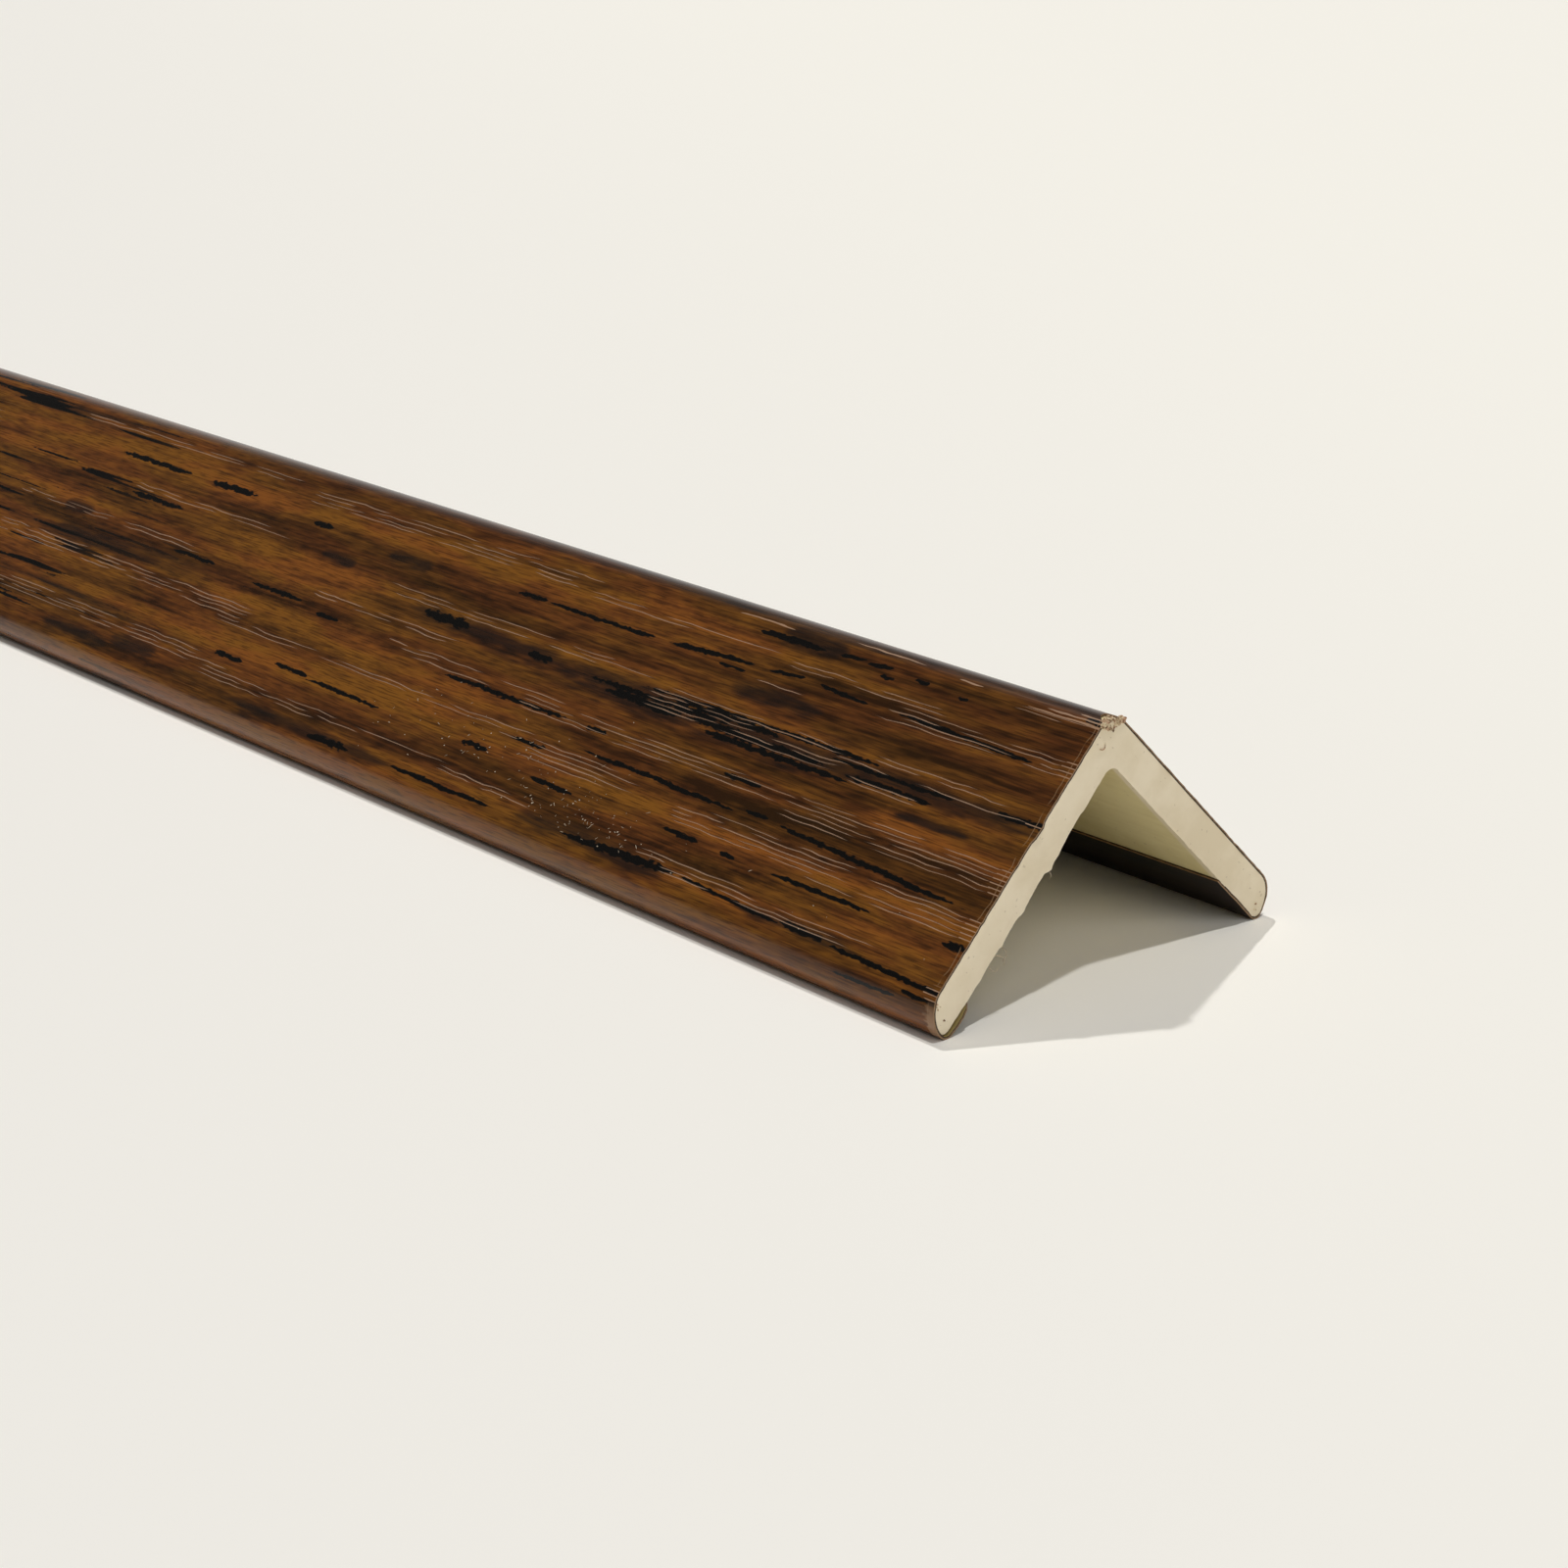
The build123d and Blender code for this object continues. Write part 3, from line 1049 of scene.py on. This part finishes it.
# Loose bits by the sawn end: torn film at the ridge, dust on the printed face, curls of swarf
looseBits = {
    "seed": 7,
    "tornCount": 200,
    "tornSizes": (0.16, 0.44),
    "tornReach": 0.74,
    "dustSizes": (0.04, 0.14),
    "dustPatches": (
        (38.0, 4.5, 21.0, 1.1, 70),
        (46.0, 6.5, 18.8, 1.8, 60),
        (57.0, 8.0, 19.2, 2.4, 50),
        (20.0, 9.0, 21.5, 1.6, 12),
    ),
    "dustReach": (2.0, 78.0),
    "dustFrom": 12.0,
    "dustColours": ((0.34, 0.24, 0.16), (0.70, 0.60, 0.46)),
    "tornColours": (
        (0.26, (0.018, 0.010, 0.006)),
        (0.37, (0.17, 0.080, 0.040)),
        (0.45, (0.48, 0.34, 0.20)),
        (0.58, (0.78, 0.66, 0.46)),
    ),
    "flush": (0.52, 0.28, 0.18),
    "pit": (0.6100, 0.0001, 0.0177),
    "pitShade": (0.045, 0.026, 0.010),
    "tipSpots": ((1, 23.9, 1.9), (-1, 23.3, 0.25), (-1, 23.9, 1.6)),
    "bitsPerTip": 5,
    "curlBack": 0.16,
    "swarfGauge": 0.022,
    # each hair: down the leg and into its wall at its root, then its steps along x, y and z
    "swarf": (
        (17.4, 2.62, (0.12, 0.25, -0.1), (0.06, 0.3, -0.35), (0.05, -0.1, -0.45), (-0.1, -0.3, -0.2)),
        (18.1, 2.65, (0.1, 0.35, -0.1), (0.1, 0.4, -0.15), (0.02, 0.15, -0.4), (-0.1, -0.15, -0.25)),
        (18.9, 2.62, (0.1, 0.15, -0.2), (0.08, 0.25, -0.3), (0.0, 0.35, -0.05), (-0.1, 0.2, 0.15)),
        (11.2, 2.9, (0.1, 0.12, -0.1), (0.05, 0.05, -0.25), (-0.05, -0.1, -0.2)),
    ),
    "curlGauge": 0.035,
    "curlPlace": (-0.98, 17.0),
    "filmCurl": ((-0.34, -0.12), (-0.2, -0.24), (0.05, -0.26), (0.2, -0.12), (0.2, 0.22)),
}


# Tree: one small lump on every point, each pushed out of shape in its own way
def buildCrumbTree():
    maker, given = newTree("crumbs", {
        "Push": "Float",
        "Push Scale": "Float",
        "Finish": "Material",
    })

    def triple(label):
        return maker.join(**{axis: maker.column(label + axis) for axis in "XYZ"})

    lump = maker.geo("MeshIcoSphere", {"Radius": 0.5, "Subdivisions": 2})
    turn = maker.add("FunctionNodeEulerToRotation", {}, {"Euler": triple("turn")})
    put = maker.geo("InstanceOnPoints", {
        "Points": given,
        "Instance": lump,
        "Rotation": turn,
        "Scale": triple("size"),
    })
    lumps = maker.geo("RealizeInstances", {"Geometry": put})
    spot = maker.geo("InputPosition", {})
    stir = maker.add("ShaderNodeTexNoise", {"noise_dimensions": "3D"}, {
        "Vector": spot,
        "Scale": given.also("Push Scale"),
        "Detail": 1.0,
    }, "Color")
    stir = maker.vector("SUBTRACT", stir, (0.5, 0.5, 0.5))
    push = maker.add("ShaderNodeVectorMath", {"operation": "SCALE"}, {0: stir, "Scale": given.also("Push")})
    lumps = maker.geo("SetPosition", {"Geometry": lumps, "Offset": push})
    lumps = maker.geo("SetMaterial", {"Geometry": lumps, "Material": given.also("Finish")})
    maker.add("NodeGroupOutput", {}, {"Geometry": lumps})
    return maker.tree


def buildTornMaterial():
    material, maker, shader = newMaterial("tornFilm", {"Specular IOR Level": 0.2, "Roughness": 0.7})
    place = maker.place()
    patch = maker.cloud(place, (3600, 3600, 3600), detail=2.0, rough=0.65)
    pit = maker.vector("DISTANCE", place, looseBits["pit"]).also("Value")
    base = maker.add("ShaderNodeValToRGB", {"stops": looseBits["tornColours"]}, {"Fac": patch})
    flush = maker.cloud(place, (2300, 2300, 2300), (4, 9, 1), detail=1.0).ramp(0.54, 0.62)
    base = maker.tint(flush * 0.5, base, looseBits["flush"])
    # painted shade: a dark spot in the hollow of the wad, darkest at the pit
    base = maker.tint(pit.ramp(0.00050, 0.00015) * 0.85, base, looseBits["pitShade"])
    feed(maker, shader, {"Base Color": base})
    return material


def buildDustMaterial():
    material, maker, shader = newMaterial("pvcDust", {"Specular IOR Level": 0.3, "Roughness": 0.6})
    place = maker.place()
    base = maker.tint(maker.cloud(place, (900, 900, 900)), *looseBits["dustColours"])
    feed(maker, shader, {"Base Color": base})
    return material


def crumbMesh(tree, name, rows, push, finish):
    labels = ("sizeX", "sizeY", "sizeZ", "turnX", "turnY", "turnZ")
    columns = {label: [row[k + 1] for row in rows] for k, label in enumerate(labels)}
    settings = {"Push": push, "Push Scale": 7.0, "Finish": finish}
    mesh = runTree(tree, name, [row[0] for row in rows], columns, settings)
    mesh.transform(Matrix.Scale(0.001, 4))
    return mesh


def anyTurn(draw):
    return [draw.uniform(0, 6.28) for axis in range(3)]


# torn film: a wad across the ridge, a few bits at each free edge
def tornRows(draw):
    rows = []
    radius = cornerRadius + filmGauge
    cornerTop = cornerHeight - cornerRadius * root2 + radius
    for k in range(looseBits["tornCount"]):
        size = draw.uniform(*looseBits["tornSizes"]) * draw.uniform(0.6, 1.0)
        turn = draw.uniform(-1.0, 1.0) * looseBits["tornReach"]
        middle = 1 - abs(turn) / looseBits["tornReach"]
        proud = 0.22 * min(1.0, abs(turn) / 0.5)
        # most are packed into the sawn end, deepest in the middle, and some lie in the tear
        if k % 5 > 1:
            sink, back = draw.random() ** 1.7 * (proud + 0.12 + 0.9 * middle), draw.uniform(0.03, 0.22)
        else:
            size *= 0.8
            sink, back = draw.random() * 0.12 + proud, draw.uniform(0.1, 1.4) * (0.3 + 0.7 * middle)
        depth = size / 2 + 0.03 - proud + sink
        y = (radius - depth) * math.sin(turn) + 0.06
        z = cornerHeight - cornerRadius * root2 + (radius - depth) * math.cos(turn)
        z = min(z, cornerTop - size / 2 - 0.03)
        x = halfLength - size / 2 - back
        rows.append(((x, y, z), size, size * 0.8, size * 0.7, *anyTurn(draw)))
    for side, a, d in looseBits["tipSpots"]:
        for k in range(looseBits["bitsPerTip"]):
            size = draw.uniform(0.07, 0.17)
            spot = barPoint(0, a + draw.uniform(-0.3, 0.2), d + draw.uniform(-0.1, 0.35), side)
            x = halfLength - size / 2 - draw.uniform(0.02, 0.12)
            spot = (x, spot[1] * 1000, spot[2] * 1000)
            rows.append((spot, size, size, size * 0.7, *anyTurn(draw)))
    return rows


# dust lies flat on the photographed face, thickest in one patch
def dustRows(draw):
    rows = []
    nearest, farthest = looseBits["dustReach"]
    for along, spread, down, wide, count in looseBits["dustPatches"]:
        for k in range(count):
            x, u = draw.gauss(along, spread), draw.gauss(down, wide)
            if not (nearest < x < farthest and looseBits["dustFrom"] < u < noseStart):
                continue
            size = draw.uniform(*looseBits["dustSizes"])
            longer = draw.uniform(3.0, 12.0) if draw.random() < 0.5 else draw.uniform(0.9, 2.0)
            spot = barPoint(halfLength - x, u - filmGauge, -filmGauge - 0.01, -1)
            size = size / math.sqrt(longer)
            turn = Matrix.Rotation(draw.gauss(0.25, 0.6), 3, "Z")
            turn = (Matrix.Rotation(math.pi / 4, 3, "X") @ turn).to_euler()
            rows.append((tuple(c * 1000 for c in spot), size * longer, size, size * 0.5, *turn))
    return rows


# a thin round curl through a few points, in mm
def curlMesh(name, paths, gauge, finish):
    data = bpy.data.curves.new(name, "CURVE")
    data.dimensions = "3D"
    data.bevel_depth = gauge / 1000
    data.bevel_resolution = 1
    data.resolution_u = 6
    data.use_fill_caps = True
    for path in paths:
        spline = data.splines.new("NURBS")
        spline.points.add(len(path) - 1)
        for point, spot in zip(spline.points, path):
            point.co = (*[c / 1000 for c in spot], 1)
            point.radius = 1.0
        spline.points[-1].radius = 0.35
        spline.order_u = 3
        spline.use_endpoint_u = True
    holder = newObject(name, data)
    mesh = bpy.data.meshes.new_from_object(holder.evaluated_get(bpy.context.evaluated_depsgraph_get()))
    bpy.data.objects.remove(holder)
    mesh.materials.clear()
    mesh.materials.append(finish)
    return mesh


def buildLooseBits():
    draw = random.Random(looseBits["seed"])
    tree = buildCrumbTree()
    torn, dust = buildTornMaterial(), buildDustMaterial()
    addPiece("tornFilm", crumbMesh(tree, "tornFilm", tornRows(draw), 0.16, torn))
    addPiece("sawDust", crumbMesh(tree, "sawDust", dustRows(draw), 0.06, dust))
    end = halfLength - looseBits["curlBack"]
    hairs = []
    for a, d, *steps in looseBits["swarf"]:
        x, y, z = [c * 1000 for c in barPoint(end, a, d, -1)]
        hair = [(x - 0.2, y, z)]
        for step in steps:
            hair.append(tuple(c + move for c, move in zip(hair[-1], step)))
        hairs.append(hair)
    addPiece("swarfCurls", curlMesh("swarfCurls", hairs, looseBits["swarfGauge"], dust))
    y, z = looseBits["curlPlace"]
    curl = [(end + 0.03, y + dy, z + dz) for dy, dz in looseBits["filmCurl"]]
    addPiece("filmCurl", curlMesh("filmCurl", [curl], looseBits["curlGauge"], torn))


buildLooseBits()

# Stage: pale floor, three high lamps, a soft fill and the photograph's camera
stage = {
    "floorSize": 40.0,
    "floorLevel": -0.00001,
    "floorNear": (0.918, 0.903, 0.87),
    "floorFar": (0.985, 0.968, 0.912),
    "lamps": (
        ("highLampFar", (-0.434, 0.124, 0.892), 1.20, 1.8),
        ("highLampTop", (0.15, -0.02, 0.988), 1.07, 2.2),
        ("highLampNear", (0.72, -0.22, 0.66), 0.68, 42.0),
    ),
    "lampColour": (1.0, 0.985, 0.955),
    "sky": (1.0, 0.985, 0.96),
    "skyFill": 0.095,
    "skyRim": 0.95,
    "cameraPlace": (0.75168, -0.15384, 0.08789),
    "azimuth": 48.752,
    "elevation": 19.473,
    "roll": -0.613,
    "focalPixels": 3337.5,
    "framePixels": 1600,
    "sensorWidth": 36,
}


def buildStage():
    size = stage["floorSize"] / 2
    mesh = bpy.data.meshes.new("floor")
    corners = ((-size, -size), (size, -size), (size, size), (-size, size))
    mesh.from_pydata([(*corner, stage["floorLevel"]) for corner in corners], [], [(0, 1, 2, 3)])
    material, maker, shader = newMaterial("paleFloor", {"Specular IOR Level": 0.0, "Roughness": 0.6})
    away = maker.split(maker.place())
    away = (away * 0.5 + away.also("Y")).ramp(0.15, 0.48)
    feed(maker, shader, {"Base Color": maker.tint(away, stage["floorNear"], stage["floorFar"])})
    mesh.materials.append(material)
    floor = newObject("floor", mesh)
    for name, towards, strength, angle in stage["lamps"]:
        lamp = bpy.data.lights.new(name, "SUN")
        lamp.energy = strength
        lamp.angle = math.radians(angle)
        lamp.color = stage["lampColour"]
        holder = newObject(name, lamp)
        holder.rotation_euler = Vector(towards).to_track_quat("Z", "Y").to_euler()
        holder.location = Vector(towards) * 2
    world = bpy.data.worlds.new("studio")
    world.use_nodes = True
    maker = NodeMaker(world.node_tree)
    sky = world.node_tree.nodes["Background"]
    sky.inputs["Color"].default_value = (*stage["sky"], 1)
    # over an even fill, a pale backdrop that only the camera sees and a pale rim for gloss, beyond the bar
    way = maker.split(maker.add("ShaderNodeTexCoord", {}, {}, "Generated"))
    path = maker.add("ShaderNodeLightPath", {}, {}, "Is Camera Ray")
    backdrop = path * (stage["skyRim"] - stage["skyFill"])
    gloss = path.also("Is Glossy Ray").most(path.also("Is Transmission Ray"))
    rim = way.also("Z").ramp(0.3, 0.65, stage["skyRim"] - stage["skyFill"], 0.0)
    beyond = way.also("Y").ramp(-0.05, 0.25)
    feed(maker, sky, {"Strength": gloss * rim * beyond + backdrop + stage["skyFill"]})
    bpy.context.scene.world = world


def buildCamera():
    turn, rise, roll = [math.radians(stage[n]) for n in ("azimuth", "elevation", "roll")]
    back = Vector((math.sin(turn) * math.cos(rise), -math.cos(turn) * math.cos(rise), math.sin(rise)))
    right = (-back).cross(Vector((0, 0, 1))).normalized()
    up = right.cross(-back)
    rightRolled = right * math.cos(roll) + up * math.sin(roll)
    upRolled = up * math.cos(roll) - right * math.sin(roll)
    data = bpy.data.cameras.new("photoCamera")
    data.sensor_width = stage["sensorWidth"]
    data.sensor_fit = "HORIZONTAL"
    data.lens = stage["focalPixels"] / stage["framePixels"] * stage["sensorWidth"]
    data.clip_start = 0.01
    data.clip_end = 100
    camera = newObject("photoCamera", data)
    turned = Matrix((rightRolled, upRolled, back)).transposed().to_4x4()
    camera.matrix_world = Matrix.Translation(stage["cameraPlace"]) @ turned
    bpy.context.scene.camera = camera


buildStage()
buildCamera()
bpy.context.scene.view_settings.view_transform = "Standard"
print("stage and camera set")
